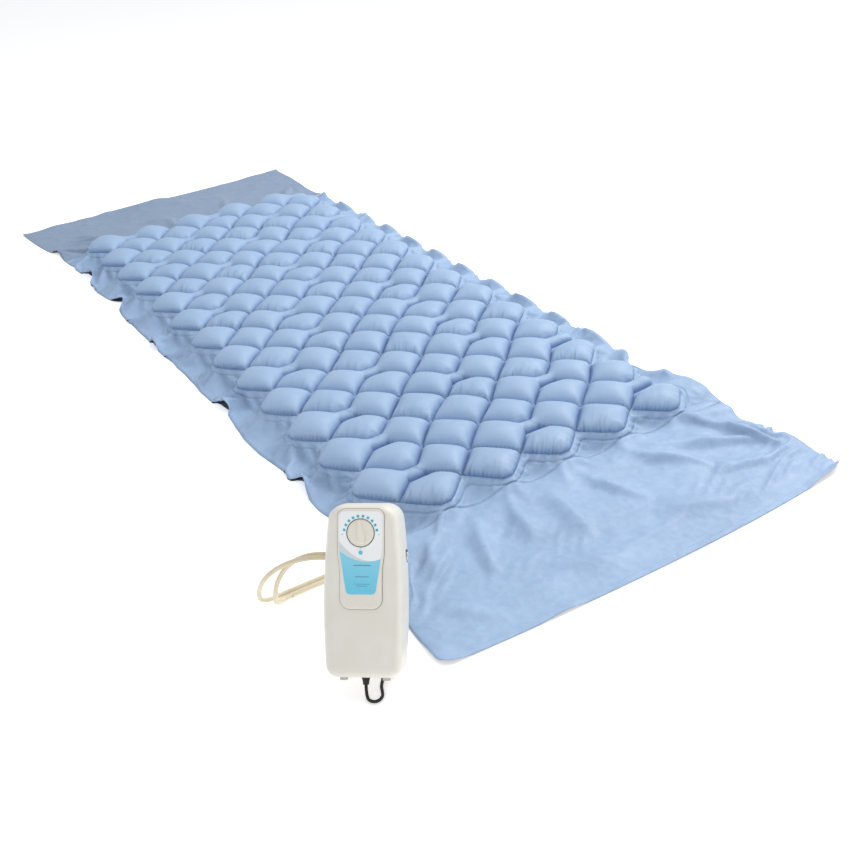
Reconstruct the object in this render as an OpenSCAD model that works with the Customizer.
// Alternating-pressure bubble pad (pressure relief mattress overlay) with its air pump.
// +X runs across the pad, +Y runs from the foot end to the head end, +Z is up.
// The origin is on the floor, at the centre of the underside of the middle air cell of circuit A.

/* [Pad] */
// Distance between the centres of neighbouring cells of one circuit, across and along the pad
cell_pitch = 136; // [134:1:140]
// Height of an inflated air cell, floor to crown
cell_height = 64; // [58:1:70]
// Number of cells in one row of one circuit
cells_across = 5; // [5]
// Number of rows of cells in one circuit
rows_along = 13; // [13]
// Width of the film at the end flaps
film_w = 900; // [880:5:940]
// Width of the pad over its drawn-in side margins
waist_w = 824; // [800:2:860]
// Length of each flat end flap, which tucks under the bed mattress
flap_l = 340; // [250:10:420]
// Width of the folded and welded hem across each flap's end
hem_w = 14; // [8:1:25]
// Modelled thickness of one film
film_t = 0.6; // [0.4:0.1:0.8]
// How far the crown of a cell drops when its circuit is let down
deflate_drop = 24; // [10:1:24]

/* [Pump] */
// Width of the pump case at its widest
pump_w = 120; // [116:1:130]
// Height of the pump case
pump_h = 255; // [250:1:265]
// Depth of the pump case without its raised front panel
pump_d = 90; // [88:1:96]
// Wall of the pump case
wall = 2.4; // [2:0.1:2.8]
// Lean of the pump back on its bed hooks, from upright
lean = 32; // [28:1:34]
// Turn of the pump about the vertical
yaw = -38; // [-42:1:-34]
// Diameter of the pressure dial
dial_d = 39.6; // [34:0.2:40]
// Angle of the dial's pointer from straight up, negative towards low pressure
dial_at = -8; // [-70:1:70]

/* [Hoses and lead] */
// Outside diameter of each air hose
hose_d = 8; // [7:0.5:8]
// Diameter of the mains lead
cord_d = 5; // [4:0.2:5.2]

/* [Hidden] */
p = cell_pitch;
weld_z = cell_height / 2;
half_l = (rows_along / 2 + 0.25) * p;      // half length of the quilted area
half_film = film_w / 2;
end_y = half_l + flap_l;
cup_s = p / sqrt(2) - 2.2;                 // side of a cell's lower half
dome_s = cup_s - 4;                        // side of a cell's upper half
cut_c = 9;                                 // corner cut of a cell
cell_wall = 0.6;
half_w = pump_w / 2;
part_y = -45;                              // parting plane of the case
hook_z = 175;                              // height of the bed hooks' rod on the back
hook_y = 7;
foot_h = 5;
// height of the case's lower back corner that puts the rear feet's rims on the floor
pump_z = foot_h * cos(lean) - 8 * sin(lean);
pump_at = [-549, -1178, pump_z];
rod_z = -hook_y * sin(lean) + hook_z * cos(lean) + pump_z;
hook_l = rod_z - 2.5;
hose_r = hose_d / 2;
cord_r = cord_d / 2;

// ---------- shared shapes ----------

// Puts the pad-centred design into the row's frame.
module place() translate([p / 4, -p / 4, 0]) children();

// Puts a piece of the pump, drawn upright with its back at y = 0, into its leaning place.
module pump() place() translate(pump_at) rotate([0, 0, yaw]) rotate([-lean, 0, 0]) children();

// A point of the upright pump, carried to pad-centred coordinates.
function lean_pt(q) = [q[0], q[1] * cos(lean) + q[2] * sin(lean), -q[1] * sin(lean) + q[2] * cos(lean)];
function yaw_pt(q) = [q[0] * cos(yaw) - q[1] * sin(yaw), q[0] * sin(yaw) + q[1] * cos(yaw), q[2]];
function pump_pt(q) = pump_at + yaw_pt(lean_pt(q));
function floor_pt(q) = [pump_at[0], pump_at[1], 0] + yaw_pt(q);

// Centres of the cells: circuit A, and circuit B half a pitch to the side and half a pitch down.
a_cells = [for (r = [0 : rows_along - 1]) for (i = [0 : cells_across - 1])
  [(i - (cells_across - 1) / 2) * p - p / 4, ((rows_along - 1) / 2 - r) * p + p / 4]];
b_cells = [for (r = [0 : rows_along - 1]) for (i = [0 : cells_across - 1])
  [(i - (cells_across - 1) / 2) * p + p / 4, ((rows_along - 1) / 2 - r) * p - p / 4]];

// Diamond plan of a cell with cut corners.
function diamond(s, c) = [for (k = [0 : 3]) for (e = [-1, 1])
  let (a = 90 * k + 45, u = s / 2, v = e * (s / 2 - c))
  [u * cos(a) - v * sin(a), u * sin(a) + v * cos(a)]];

module diamond_prism(s, c, z0, z1) translate([0, 0, z0]) linear_extrude(z1 - z0) polygon(diamond(s, c));

// Upper half of a cell: a domed shell, open below.
module dome() {
  rs = 67.5;
  difference() {
    intersection() {
      diamond_prism(dome_s, cut_c, weld_z - 2, cell_height + 1);
      translate([0, 0, cell_height - rs]) sphere(r = rs, $fn = 64);
    }
    intersection() {
      diamond_prism(dome_s - 2 * cell_wall, cut_c - 0.3, weld_z - 3, cell_height);
      translate([0, 0, cell_height - rs]) sphere(r = rs - cell_wall, $fn = 64);
    }
  }
}

// Side view of a flap: leaves the weld plane, slopes to the floor, lies flat, ends in a hem.
function flap_side() = [
  [half_l + 1, weld_z - 1], [half_l + 91, 0], [end_y, 0], [end_y, 2.4 * film_t],
  [end_y - hem_w, 2.4 * film_t], [end_y - hem_w, film_t], [half_l + 91.2, film_t], [half_l + 1, weld_z - 1 + film_t]];

module flap_end() rotate([90, 0, 90]) translate([0, 0, -half_film]) linear_extrude(film_w) polygon(flap_side());

// Points on a cubic curve.
function bez(a, b, c, d, t) = (1 - t) * (1 - t) * (1 - t) * a + 3 * (1 - t) * (1 - t) * t * b
  + 3 * (1 - t) * t * t * c + t * t * t * d;
function curve(a, b, c, d, n) = [for (i = [0 : n - 1]) bez(a, b, c, d, i / n)];
function unit(v) = v / norm(v);
function tangent(path, i) = unit(path[min(i + 1, len(path) - 1)] - path[max(i - 1, 0)]);
function normals(path, i, prev) = i >= len(path) ? [] :
  let (t = tangent(path, i), m = unit(prev - (prev * t) * t)) concat([m], normals(path, i + 1, m));

// Round bar along a path.
module bar_along(path, r, n = 14, start = [0, 0, 1]) {
  m = normals(path, 0, start);
  count = len(path);
  pts = [for (i = [0 : count - 1]) let (t = tangent(path, i), b = cross(t, m[i]))
    for (k = [0 : n - 1]) path[i] + r * cos(360 * k / n) * m[i] + r * sin(360 * k / n) * b];
  faces = concat([[for (k = [n - 1 : -1 : 0]) k]],
    [for (i = [0 : count - 2]) for (k = [0 : n - 1])
      [i * n + k, i * n + (k + 1) % n, (i + 1) * n + (k + 1) % n, (i + 1) * n + k]],
    [[for (k = [0 : n - 1]) (count - 1) * n + k]]);
  polyhedron(points = pts, faces = [for (f = faces) [for (j = [len(f) - 1 : -1 : 0]) f[j]]], convexity = 6);
}

// ---------- pad ----------

// Lower film: the welded web with the lower half of every cell.
module lower_film() color([0.27, 0.28, 0.31]) place() {
  difference() {
    union() {
      translate([-waist_w / 2, -half_l, weld_z - 1]) cube([waist_w, 2 * half_l, film_t]);
      for (c = concat(a_cells, b_cells)) translate([c[0], c[1], 0])
        diamond_prism(cup_s, cut_c, 0, weld_z - 1 + film_t);
    }
    for (c = concat(a_cells, b_cells)) translate([c[0], c[1], 0])
      diamond_prism(cup_s - 2 * cell_wall, cut_c - 0.3, cell_wall, weld_z);
  }
}

// Upper film between the cells, welded to the lower film along every cell's outline.
module upper_film() color([0.64, 0.76, 0.92]) place() difference() {
  translate([-waist_w / 2, -half_l, weld_z]) cube([waist_w, 2 * half_l, film_t]);
  for (c = concat(a_cells, b_cells)) translate([c[0], c[1], 0])
    diamond_prism(cup_s - 2, cut_c, weld_z - 1, weld_z + 2);
}

// Crowns of the cells of circuit A.
module circuit_a_cells() color([0.62, 0.76, 0.94]) place()
  for (c = a_cells) translate([c[0], c[1], 0]) dome();

// Crowns of the cells of circuit B.
module circuit_b_cells() color([0.58, 0.72, 0.91]) place()
  for (c = b_cells) translate([c[0], c[1], 0]) dome();

module head_flap() color([0.56, 0.64, 0.76]) place() flap_end();
module foot_flap() color([0.64, 0.76, 0.92]) place() mirror([0, 1, 0]) flap_end();

// Reinforcing patch welded over the two air ports.
module port_patch() color([0.70, 0.80, 0.93]) place()
  translate([374, -868, weld_z + film_t + 0.05]) linear_extrude(0.5)
    polygon([[0, 6], [6, 0], [31, 0], [37, 6], [37, 50], [31, 56], [6, 56], [0, 50]]);

port_at = [[386, -838], [398, -830]];

// Elbow barbs: a flange welded under the lower film, and a spigot towards the foot end.
module air_ports() color([0.16, 0.19, 0.30]) place() for (q = port_at) translate([q[0], q[1], 0]) {
  difference() {
    union() {
      translate([0, 0, weld_z - 2.6]) cylinder(r = 5.8, h = 1.5, $fn = 48);
      translate([0, 0, weld_z - 14]) cylinder(r = 4.2, h = 11.5, $fn = 48);
      translate([0, 0, weld_z - 10]) rotate([90, 0, 0]) cylinder(r = 3, h = -q[1] < 835 ? 32 : 24, $fn = 48);
    }
    translate([0, 0, weld_z - 12]) cylinder(r = 1.8, h = 20, $fn = 48);
    translate([0, 1, weld_z - 10]) rotate([90, 0, 0]) cylinder(r = 1.8, h = 50, $fn = 48);
  }
}

// A hose: leaves the pump's side, arches to the floor, runs in the tunnel under the foot end's
// last row of cells, comes out at the far edge and turns up to its port.
function hose_path(y0, z0, lane, port, spread) =
  let (a = pump_pt([-59.5, y0, z0]), dir = yaw_pt([-1, 0, 0]), out = a + 62 * dir,
       low = [-612 - spread, -978 + spread, 44], turn = [-560, lane, hose_r],
       last = [port[0] - 26, lane, hose_r], up = [port[0], port[1] - 12.5, weld_z - 10])
  concat(curve(a, a + 8 * dir, a + 10 * dir, a + 14 * dir, 3),
    curve(a + 14 * dir, out, low + [-4, -24, 56], low, 14),
    curve(low, low + [3, 16, -36], turn + [-40, 0, 0], turn, 12),
    [turn, [-300, lane, hose_r], [0, lane, hose_r], [300, lane, hose_r]],
    curve(last, last + [19, 0, 0], [port[0], lane + 10, hose_r], [port[0], lane + 32, hose_r + 3], 9),
    curve([port[0], lane + 32, hose_r + 3], [port[0], lane + 46, hose_r + 4.5], up - [0, 26, 0], up - [0, 12, 0], 7),
    [up - [0, 12, 0], up]);

module hose(y0, z0, lane, port, spread) difference() {
  bar_along(hose_path(y0, z0, lane, port, spread), hose_r);
  translate([port[0], port[1] - 12, weld_z - 10]) rotate([90, 0, 0]) cylinder(r = 3.04, h = 21, $fn = 48);
  translate(pump_at) rotate([0, 0, yaw]) rotate([-lean, 0, 0]) translate([-58, y0, z0])
    rotate([0, -90, 0]) cylinder(r = 3.04, h = 13, $fn = 48);
}

module hose_a() color([0.93, 0.90, 0.80]) place() hose(-30, 177, -half_l - 24, port_at[1], 0);
module hose_b() color([0.93, 0.90, 0.80]) place() hose(-38.4, 173, -half_l - 12, port_at[0], 20);

// ---------- pump case ----------

// Half width of the case at height z: widest below the middle, narrower at the top.
function case_w(z) = z < 105 ? half_w - 5 * pow((z - 105) / 105, 2) : half_w - 9.5 * pow((z - 105) / 150, 2);
case_rb = 20;
case_rt = 26;

// Outline of the case, drawn in by an inset.
function case_side(i) = concat(
  [for (a = [-90 : 10 : 0]) [case_w(case_rb) - case_rb + (case_rb - i) * cos(a), case_rb + (case_rb - i) * sin(a)]],
  [for (k = [1 : 15]) let (z = case_rb + k * (pump_h - case_rt - case_rb) / 16) [case_w(z) - i, z]],
  [for (a = [0 : 10 : 90]) [case_w(pump_h - case_rt) - case_rt + (case_rt - i) * cos(a),
    pump_h - case_rt + (case_rt - i) * sin(a)]]);
function case_outline(i) = concat(case_side(i), [for (k = [len(case_side(i)) - 1 : -1 : 0]) [-case_side(i)[k][0], case_side(i)[k][1]]]);

module slab(i, y) translate([0, y, 0]) rotate([90, 0, 0]) linear_extrude(0.1) polygon(case_outline(i));

module front_form(w) hull() {
  slab(w, part_y - 0.05);
  slab(1.4 + w, -pump_d + 15 + w);
  slab(4.5 + w, -pump_d + 6.5 + w);
  slab(10 + w, -pump_d + 1.8 + w);
  slab(18 + w, -pump_d + 0.1 + w);
}

module back_form(w) hull() {
  slab(w, part_y + 0.15);
  slab(1 + w, -14 - w);
  slab(4 + w, -4.5 - w);
  slab(9 + w, 0 - w);
}

// Raised panel on the front: wide at the dial, narrower below, with rounded corners.
function panel_side(i) = concat(
  [for (a = [-90 : 15 : 0]) [32 - 16 + (16 - i) * cos(a), 118 + (16 - i) * sin(a)]],
  [for (k = [0 : 6]) let (t = k / 6) [32 + 3.3 * t * t * (3 - 2 * t) - i, 155 + 34 * t]],
  [for (a = [0 : 15 : 90]) [35.3 - 12 + (12 - i) * cos(a), 237 + (12 - i) * sin(a)]]);
function panel_outline(i) = concat(panel_side(i), [for (k = [len(panel_side(i)) - 1 : -1 : 0]) [-panel_side(i)[k][0], panel_side(i)[k][1]]]);

dial_z = 213.6;
lamp_z = 185;
screw_at = [[-45, 12], [45, 12], [-41, 236], [41, 236]];

module y_rod(x, z, y_front, y_back, r) translate([x, y_back, z]) rotate([90, 0, 0]) cylinder(r = r, h = y_back - y_front, $fn = 64);

// Front half of the case with the raised panel and the dial's well.
module front_shell() color([0.90, 0.885, 0.85]) pump() difference() {
  union() {
    difference() {
      union() {
        front_form(0);
        translate([0, -pump_d + 10, 0]) rotate([90, 0, 0]) linear_extrude(13) polygon(panel_outline(0));
      }
      front_form(wall);
      translate([0, part_y + 1, 0]) rotate([90, 0, 0]) linear_extrude(1.2) polygon(case_outline(wall));
    }
    intersection() {
      for (q = screw_at) y_rod(q[0], q[1], -84, part_y - 0.1, 4.5);
      front_form(1);
    }
  }
  y_rod(0, dial_z, -pump_d - 4, -pump_d + 0.4, dial_d / 2 + 0.7);
  y_rod(0, dial_z, -pump_d - 4, -pump_d + 6, 4.05);
  y_rod(0, lamp_z, -pump_d - 4, -pump_d + 6, 3.05);
  for (q = screw_at) y_rod(q[0], q[1], -66, part_y + 1, 1.5);
  translate([0, -52, -3]) cylinder(r = 4.6, h = 12, $fn = 64);
}

// Back half of the case with its screw towers and openings.
module back_shell() color([0.88, 0.865, 0.83]) pump() difference() {
  union() {
    difference() {
      back_form(0);
      back_form(wall);
      translate([0, part_y + 1, 0]) rotate([90, 0, 0]) linear_extrude(1.2) polygon(case_outline(wall));
    }
    for (q = screw_at) y_rod(q[0], q[1], part_y + 0.1, -3.2, 4.5);
    y_rod(-32, 205, -8, -1, 13.4);
  }
  for (q = screw_at) { y_rod(q[0], q[1], part_y - 1, 1, 1.6); y_rod(q[0], q[1], -8, 2, 3.4); }
  y_rod(-32, 205, -9, 2, 11.3);
  y_rod(38, 205, -9, 2, 6.6);
  for (q = [[-30, 177], [-38.4, 173]]) translate([-65, q[0], q[1]]) rotate([0, 90, 0]) cylinder(r = 3.3, h = 13, $fn = 48);
  translate([50, -34.2, 165]) cube([14, 13.4, 20]);
}

// Printed overlay on the raised panel.
module control_label() color([0.94, 0.95, 0.95]) pump() difference() {
  translate([0, -pump_d - 3.05, 0]) rotate([90, 0, 0]) linear_extrude(0.4) polygon(concat(
    [for (a = [-90 : 15 : 0]) [22.5 - 7 + 7 * cos(a), 131.5 + 7 * sin(a)]], [[31.5, 188], [32.2, 205]],
    [for (a = [0 : 15 : 90]) [32.2 - 9 + 9 * cos(a), 236 + 9 * sin(a)]],
    [for (a = [90 : 15 : 180]) [-32.2 + 9 + 9 * cos(a), 236 + 9 * sin(a)]], [[-32.2, 205], [-31.5, 188]],
    [for (a = [180 : 15 : 270]) [-22.5 + 7 + 7 * cos(a), 131.5 + 7 * sin(a)]]));
  y_rod(0, dial_z, -pump_d - 5, -pump_d, dial_d / 2 + 0.7);
  y_rod(0, lamp_z, -pump_d - 5, -pump_d, 3.05);
}

// Dial: a disc with a raised, tapered pointer.
module pressure_dial() color([0.90, 0.885, 0.84]) pump() translate([0, 0, dial_z]) rotate([0, dial_at, 0]) difference() {
  union() {
    y_rod(0, 0, -pump_d - 4.6, -pump_d + 0.2, dial_d / 2);
    hull() {
      y_rod(0, 14.5, -pump_d - 11, -pump_d - 3, 2.6);
      y_rod(0, -9.5, -pump_d - 11, -pump_d - 3, 6.2);
    }
  }
  y_rod(0, 0, -pump_d - 3.3, -pump_d + 1, 3);
}

// Stem between the dial and the regulator's needle.
module regulator_stem() color([0.62, 0.62, 0.60]) pump() union() {
  y_rod(0, dial_z, -pump_d + 0.6, -52, 4);
  y_rod(0, dial_z, -pump_d - 3.1, -pump_d + 0.7, 2.95);
  y_rod(0, dial_z, -52.1, -44, 1.6);
}

// Regulator body that the stem turns in.
module regulator_valve() color([0.25, 0.27, 0.30]) pump() difference() {
  union() {
    translate([-15, -70, dial_z - 12]) cube([30, 30, 24]);
    y_rod(0, dial_z, -78, -69, 8);
    translate([-22, -48, dial_z]) rotate([0, 90, 0]) cylinder(r = 2.6, h = 44, $fn = 48);
  }
  y_rod(0, dial_z, -80, -50, 4.06);
  y_rod(0, dial_z, -51, -42, 1.7);
}

module lamp_lens() color([0.35, 0.75, 0.85]) pump() union() {
  y_rod(0, lamp_z, -pump_d - 3.9, -pump_d + 3, 3);
  y_rod(0, lamp_z, -pump_d + 2.9, -pump_d + 4.4, 4.2);
}

module power_lamp() color([0.75, 0.85, 0.60]) pump() union() {
  y_rod(0, lamp_z, -84.5, -78, 2.5);
  y_rod(0, lamp_z, -78.1, -76.5, 3.1);
}

// ---------- pump fittings ----------

module switch_frame() color([0.13, 0.13, 0.14]) pump() difference() {
  translate([40, -34, 165.2]) cube([18, 13, 19.6]);
  translate([52.5, -22.9, 175]) rotate([90, 0, 0]) cylinder(r = 8.1, h = 9.2, $fn = 64);
  translate([52.5, -32.1, 167.5]) cube([10, 9.2, 15]);
}

// Rocker: a round-bodied key that tips about its own centre line.
module rocker_switch() color([0.86, 0.86, 0.83]) pump() translate([52.5, 0, 175]) rotate([0, 10, 0]) difference() {
  translate([0, -23.1, 0]) rotate([90, 0, 0]) cylinder(r = 8, h = 8.8, $fn = 64);
  translate([6.2, -34, 0]) rotate([0, 14, 0]) cube([6, 14, 12]);
  translate([6.2, -34, 0]) rotate([0, -14, 0]) translate([0, 0, -12]) cube([6, 14, 12]);
}

// Two air outlets on the left side, in one block behind the wall.
module outlet_nozzles() color([0.80, 0.79, 0.75]) pump() difference() {
  union() {
    translate([-53, -44, 166]) cube([9, 19, 18]);
    for (q = [[-30, 177], [-38.4, 173]]) translate([-70, q[0], q[1]]) rotate([0, 90, 0]) cylinder(r = 3, h = 18, $fn = 48);
  }
  for (q = [[-30, 177], [-38.4, 173]]) translate([-71, q[0], q[1]]) rotate([0, 90, 0]) cylinder(r = 1.8, h = 30, $fn = 48);
}

// Swing-out wire hooks: a rod with two legs whose ends turn in. Folded out they hang the pump on
// a bed's footboard; swung down they prop the pump.
module bed_hooks() color([0.80, 0.80, 0.80]) pump() translate([0, hook_y, hook_z]) {
  rotate([0, 90, 0]) cylinder(r = 2.5, h = 92, center = true, $fn = 48);
  for (s = [-1, 1]) translate([26 * s, 0, 0]) rotate([lean, 0, 0]) {
    translate([0, 0, -hook_l + 8]) cylinder(r = 2.4, h = hook_l - 8, $fn = 48);
    translate([0, -8, -hook_l + 8]) rotate([0, 90, 0]) rotate_extrude(angle = 90, $fn = 48) translate([8, 0]) circle(r = 2.4, $fn = 32);
    translate([0, -22, -hook_l]) rotate([-90, 0, 0]) cylinder(r = 2.4, h = 14, $fn = 48);
  }
}

// Clips on the back that the hooks' rod turns in.
module hook_brackets() color([0.30, 0.30, 0.31]) pump() for (s = [-1, 1]) difference() {
  union() {
    translate([40 * s - 4, 0.1, hook_z - 8]) cube([8, 7, 16]);
    translate([40 * s - 4, hook_y, hook_z]) rotate([0, 90, 0]) cylinder(r = 6, h = 8, $fn = 48);
  }
  translate([40 * s - 6, hook_y, hook_z]) rotate([0, 90, 0]) cylinder(r = 2.56, h = 12, $fn = 48);
}

// Low round feet, shaped to the underside of the case.
module rubber_feet() color([0.15, 0.15, 0.16]) pump() difference() {
  for (x = [-32, 32]) for (y = [-14, -58]) translate([x, y, -foot_h]) cylinder(r = 6, h = foot_h + 4, $fn = 48);
  back_form(-0.02);
  front_form(-0.02);
}

module case_screws() color([0.70, 0.70, 0.71]) pump() for (q = screw_at) difference() {
  union() {
    y_rod(q[0], q[1], -8 - 54, -8 + 0.2, 1.4);
    y_rod(q[0], q[1], -7.9, -5.6, 3);
  }
  translate([q[0], -5.5, q[1]]) for (a = [0, 90]) rotate([0, a, 0]) translate([-2, -1.2, -0.4]) cube([4, 2, 0.8]);
}

// ---------- mains lead ----------

module strain_relief() color([0.06, 0.06, 0.07]) pump() translate([0, -52, 0]) difference() {
  union() {
    translate([0, 0, -5]) cylinder(r = 6.2, h = 4.98, $fn = 48);
    translate([0, 0, -13]) cylinder(r1 = 4.4, r2 = 5.6, h = 8.01, $fn = 48);
    cylinder(r = 4.5, h = 7, $fn = 48);
    translate([0, 0, 5]) cylinder(r = 6, h = 2.5, $fn = 48);
  }
  translate([0, 0, -14]) cylinder(r = cord_r + 0.05, h = 30, $fn = 48);
}

// The lead from the strain relief: down to the floor, round a small turn, back under the case
// into a tied bundle behind it, and out to the plug.
cord_path = concat(
  [for (q = [[0, -52, 10], [0, -52, -4], [0, -52, -10]]) lean_pt(q) + [0, 0, pump_z]],
  curve(lean_pt([0, -52, -14]) + [0, 0, pump_z], lean_pt([0, -52, -20]) + [0, 0, pump_z], [1, -59, 3], [3, -64, 3], 8),
  curve([3, -64, 3], [6, -74, 3], [20, -76, 3], [24, -64, 3], 9),
  curve([24, -64, 3], [27, -55, 3], [20, -46, 3], [20, -36, 3], 5),
  [[20, -36, 3], [20, -6, 3], [20, 8, 3]],
  curve([20, 8, 3], [20, 20, 3], [17, 24, 3], [17, 36, 3], 5),
  [[17, 36, 3]],
  [for (k = [0 : 3]) for (q = loop_turn(k)) q],
  curve([-12.92, 38, 19.2], [-12.92, 20, 19.2], [-24, 14, 5], [-34, 15, 4.5], 8),
  curve([-34, 15, 4.5], [-40, 15.6, 4.2], [-44, 17, 7.5], [-44, 24, 7.5], 6),
  [[-44, 24, 7.5], [-44, 27, 7.5]]);

// One turn of the bundle: a long loop lying on the one below it, a little narrower.
function loop_turn(k) = let (z = 3 + k * 5.4, r = 17 - 1.36 * k) concat(
  [for (a = [0 : 30 : 180]) [r * cos(a), 72 + r * sin(a), z]],
  k < 3 ? [for (a = [180 : 30 : 360]) let (t = a / 180 - 1) [(r - 1.36 * t) * cos(a), 38 + (r - 1.36 * t) * sin(a), z + 5.4 * t]] : []);

module power_cord() color([0.05, 0.05, 0.06]) place() translate([pump_at[0], pump_at[1], 0]) rotate([0, 0, yaw])
  bar_along(cord_path, cord_r, 10, [1, 0, 0]);

// Wire tie round the bundle.
module cord_tie() color([0.10, 0.10, 0.11]) place() translate([pump_at[0], pump_at[1], 0]) rotate([0, 0, yaw])
  difference() {
    translate([8.5, 53, 0]) cube([12.9, 4, 23.4]);
    translate([9.8, 52, 0.4]) cube([10.3, 6, 22]);
  }

// Moulded mains plug, lying beside the bundle.
module plug_body() color([0.06, 0.06, 0.07]) place() translate([pump_at[0], pump_at[1], 0]) rotate([0, 0, yaw]) difference() {
  union() {
    translate([-52, 36, 0]) cube([16, 26, 15]);
    translate([-44, 37, 7.5]) rotate([90, 0, 0]) cylinder(r1 = 6.5, r2 = 4.2, h = 12, $fn = 48);
    translate([-54.5, 60, 0]) cube([21, 3, 15]);
  }
  translate([-44, 28, 7.5]) rotate([90, 0, 0]) cylinder(r = cord_r + 0.05, h = 6, $fn = 48);
  for (x = [-50.4, -39.2]) translate([x - 0.05, 50, 4.2]) cube([1.7, 20, 6.6]);
}

module plug_blades() color([0.80, 0.72, 0.45]) place() translate([pump_at[0], pump_at[1], 0]) rotate([0, 0, yaw])
  for (x = [-50.4, -39.2]) translate([x, 50.1, 4.25]) cube([1.6, 30, 6.5]);

// ---------- back fittings ----------

// Vented cap over the air inlet.
module filter_cover() color([0.84, 0.83, 0.79]) pump() difference() {
  union() {
    y_rod(-32, 205, 0.15, 2.8, 14);
    y_rod(-32, 205, -1.6, 0.3, 11.1);
  }
  for (a = [0 : 60 : 300]) translate([-32, 0, 205]) rotate([0, a, 0]) translate([4, -4, -0.9]) cube([5.5, 9, 1.8]);
}

module filter_felt() color([0.93, 0.93, 0.90]) pump() y_rod(-32, 205, -7.6, -1.8, 11.1);

module fuse_holder() color([0.08, 0.08, 0.09]) pump() difference() {
  union() { y_rod(38, 205, -36, 0.2, 6.4); y_rod(38, 205, 0.15, 1.6, 8); }
  y_rod(38, 205, -34, 3, 4.1);
}

module fuse_cap() color([0.10, 0.10, 0.11]) pump() difference() {
  union() { y_rod(38, 205, 1.7, 7, 6.6); y_rod(38, 205, -8, 1.8, 4.0); }
  y_rod(38, 205, -9, -3, 2.7);
  translate([37.3, 5.6, 200]) cube([1.4, 3, 10]);
}

module fuse() color([0.80, 0.85, 0.85]) pump() y_rod(38, 205, -26, -6.2, 2.5);

// ---------- air engine ----------

arm_z = 92;

// Chassis: floor plate, four ears for the arms' pins.
module pump_frame() color([0.35, 0.36, 0.38]) pump() difference() {
  union() {
    translate([-51, -60, 20]) cube([102, 40, 4]);
    for (x = [-51, 41]) for (y = [-52, -31.5]) translate([x, y, 23.9]) cube([10, 3.5, 76]);
  }
  for (x = [-46, 46]) y_rod(x, arm_z, -54, -26, 1.56);
}

// Rubber bushes between the chassis and the case's floor.
module frame_mounts() color([0.18, 0.18, 0.19]) pump() for (x = [-28, 28]) for (y = [-54, -26])
  translate([x, y, 5]) cylinder(r = 5, h = 14.95, $fn = 48);

// Laminated U-core with two poles.
module coil_core() color([0.45, 0.46, 0.48]) pump() difference() {
  translate([-30, -50, 24.1]) cube([60, 20, 56]);
  translate([-18, -51, 36]) cube([36, 22, 45]);
}

// A wound bobbin round each pole.
module coil_bobbins() color([0.72, 0.38, 0.18]) pump() for (x = [-24, 24]) difference() {
  union() {
    translate([x - 13, -56, 40]) cube([26, 32, 2]);
    translate([x - 13, -56, 70]) cube([26, 32, 2]);
    translate([x - 12, -55, 41.9]) cube([24, 30, 28.2]);
  }
  translate([x - 6.1, -50.1, 39]) cube([12.2, 20.2, 35]);
}

// Sprung lever that carries a magnet over a pole and pushes a diaphragm. side is -1 or 1.
module arm(side) difference() {
  union() {
    translate([side < 0 ? -44 : 6, -47.5, arm_z - 2]) cube([38, 15, 4]);
    y_rod(46 * side, arm_z, -47.5, -32.5, 3.6);
    translate([24 * side, -40, arm_z + 1.9]) cylinder(r = 4, h = 2.7, $fn = 48);
  }
  y_rod(46 * side, arm_z, -50, -30, 1.55);
}

module arm_left() color([0.75, 0.75, 0.72]) pump() arm(-1);
module arm_right() color([0.75, 0.75, 0.72]) pump() arm(1);
module magnet_left() color([0.30, 0.30, 0.33]) pump() translate([-31, -47, 84]) cube([14, 14, 5.9]);
module magnet_right() color([0.30, 0.30, 0.33]) pump() translate([17, -47, 84]) cube([14, 14, 5.9]);

module arm_pins() color([0.80, 0.80, 0.82]) pump() for (x = [-46, 46]) y_rod(x, arm_z, -53, -27, 1.5);

// Rubber discs that the arms push.
module diaphragms() color([0.20, 0.20, 0.21]) pump() for (x = [-24, 24]) translate([x, -40, 0]) {
  translate([0, 0, 98.4]) cylinder(r = 16.5, h = 1.55, $fn = 64);
  translate([0, 0, 97.9]) cylinder(r = 5, h = 0.6, $fn = 48);
}

module pump_chambers() color([0.88, 0.88, 0.84]) pump() difference() {
  union() {
    translate([-51, -59, 100]) cube([102, 38, 4]);
    for (x = [-24, 24]) translate([x, -40, 103.9]) cylinder(r = 17.5, h = 18, $fn = 64);
  }
  for (x = [-24, 24]) translate([x, -40, 99]) cylinder(r = 14, h = 25, $fn = 64);
}

module chamber_lids() color([0.70, 0.70, 0.66]) pump() for (x = [-24, 24]) translate([x, -40, 0]) difference() {
  union() {
    translate([0, 0, 121.95]) cylinder(r = 17.5, h = 2.5, $fn = 64);
    translate([0, 0, 124]) cylinder(r = 3, h = 8, $fn = 48);
  }
  translate([0, 0, 121]) cylinder(r = 1.8, h = 12, $fn = 48);
}

// ---------- timing valve and electronics ----------

valve_at = [17, 160];

module timing_motor() color([0.72, 0.70, 0.60]) pump() difference() {
  union() { y_rod(valve_at[0], valve_at[1], -27, -9, 22); y_rod(valve_at[0], valve_at[1], -29, -26.9, 5); }
  y_rod(valve_at[0], valve_at[1], -30, -15, 2.06);
}

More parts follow.
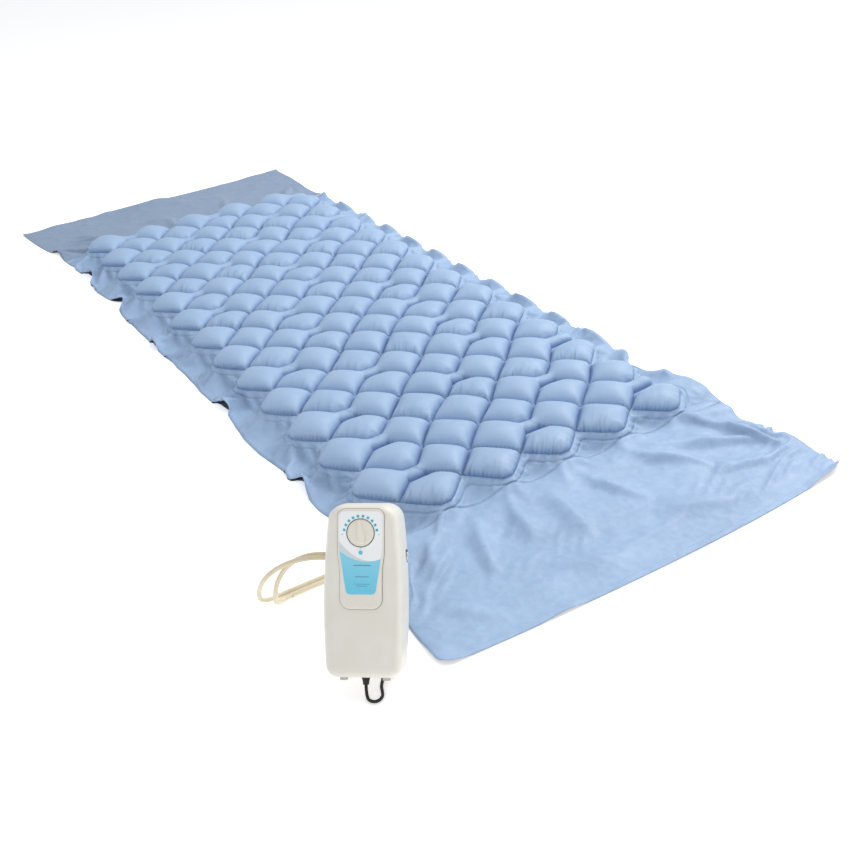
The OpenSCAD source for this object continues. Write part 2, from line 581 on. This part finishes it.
module valve_body() color([0.86, 0.86, 0.82]) pump() difference() {
  union() {
    y_rod(valve_at[0], valve_at[1], -52, -30, 17);
    for (a = [0, 120, 240]) translate([valve_at[0], -58, valve_at[1]]) rotate([0, a, 0]) translate([9, 0, 0])
      rotate([-90, 0, 0]) cylinder(r = 2.8, h = 7, $fn = 48);
  }
  y_rod(valve_at[0], valve_at[1], -44, -32, 14.06);
  y_rod(valve_at[0], valve_at[1], -33, -28, 2.06);
  for (a = [0, 120, 240]) translate([valve_at[0], -59, valve_at[1]]) rotate([0, a, 0]) translate([9, 0, 0])
    rotate([-90, 0, 0]) cylinder(r = 1.5, h = 17, $fn = 48);
}

// Disc that sends the air to one circuit and vents the other, turned by the timing motor.
module valve_rotor() color([0.90, 0.90, 0.88]) pump() difference() {
  union() { y_rod(valve_at[0], valve_at[1], -43.9, -36, 14); y_rod(valve_at[0], valve_at[1], -36.1, -17, 2); }
  translate([valve_at[0] + 9, -40, valve_at[1]]) rotate([90, 0, 0]) cylinder(r = 2.6, h = 5, $fn = 48);
}

module circuit_board() color([0.10, 0.36, 0.22]) pump() {
  translate([-46, -14, 132]) cube([40, 1.6, 56]);
  translate([-42, -26, 136]) cube([16, 12.05, 14]);
  translate([-22, -22, 140]) cube([12, 8.05, 10]);
  y_rod(-36, 176, -24, -13.9, 5);
  y_rod(-18, 176, -20, -13.9, 4);
}

// Short rubber tubes between the chambers, the valve and the regulator.
module internal_tubes() color([0.90, 0.86, 0.78]) pump() {
  difference() {
    union() {
      translate([-24, -40, 126]) cylinder(r = 4.2, h = 12, $fn = 48);
      translate([-24, -40, 134]) rotate([0, 90, 0]) cylinder(r = 4.2, h = 24, $fn = 48);
    }
    translate([-24, -40, 125]) cylinder(r = 3.05, h = 8, $fn = 48);
  }
  difference() {
    translate([24, -40, 126]) cylinder(r = 4.2, h = 14, $fn = 48);
    translate([24, -40, 125]) cylinder(r = 3.05, h = 8, $fn = 48);
  }
  difference() {
    translate([-34, -48, dial_z]) rotate([0, 90, 0]) cylinder(r = 3.8, h = 15, $fn = 48);
    translate([-26, -48, dial_z]) rotate([0, 90, 0]) cylinder(r = 2.65, h = 10, $fn = 48);
  }
}

// ---------- nodes ----------

lower_film();
upper_film();
circuit_a_cells();
circuit_b_cells();
head_flap();
foot_flap();
port_patch();
air_ports();
hose_a();
hose_b();
front_shell();
back_shell();
control_label();
pressure_dial();
regulator_stem();
regulator_valve();
lamp_lens();
power_lamp();
switch_frame();
rocker_switch();
outlet_nozzles();
bed_hooks();
hook_brackets();
rubber_feet();
case_screws();
strain_relief();
power_cord();
cord_tie();
plug_body();
plug_blades();
filter_cover();
filter_felt();
fuse_holder();
fuse_cap();
fuse();
pump_frame();
frame_mounts();
coil_core();
coil_bobbins();
arm_left();
arm_right();
magnet_left();
magnet_right();
arm_pins();
diaphragms();
pump_chambers();
chamber_lids();
timing_motor();
valve_body();
valve_rotor();
circuit_board();
internal_tubes();
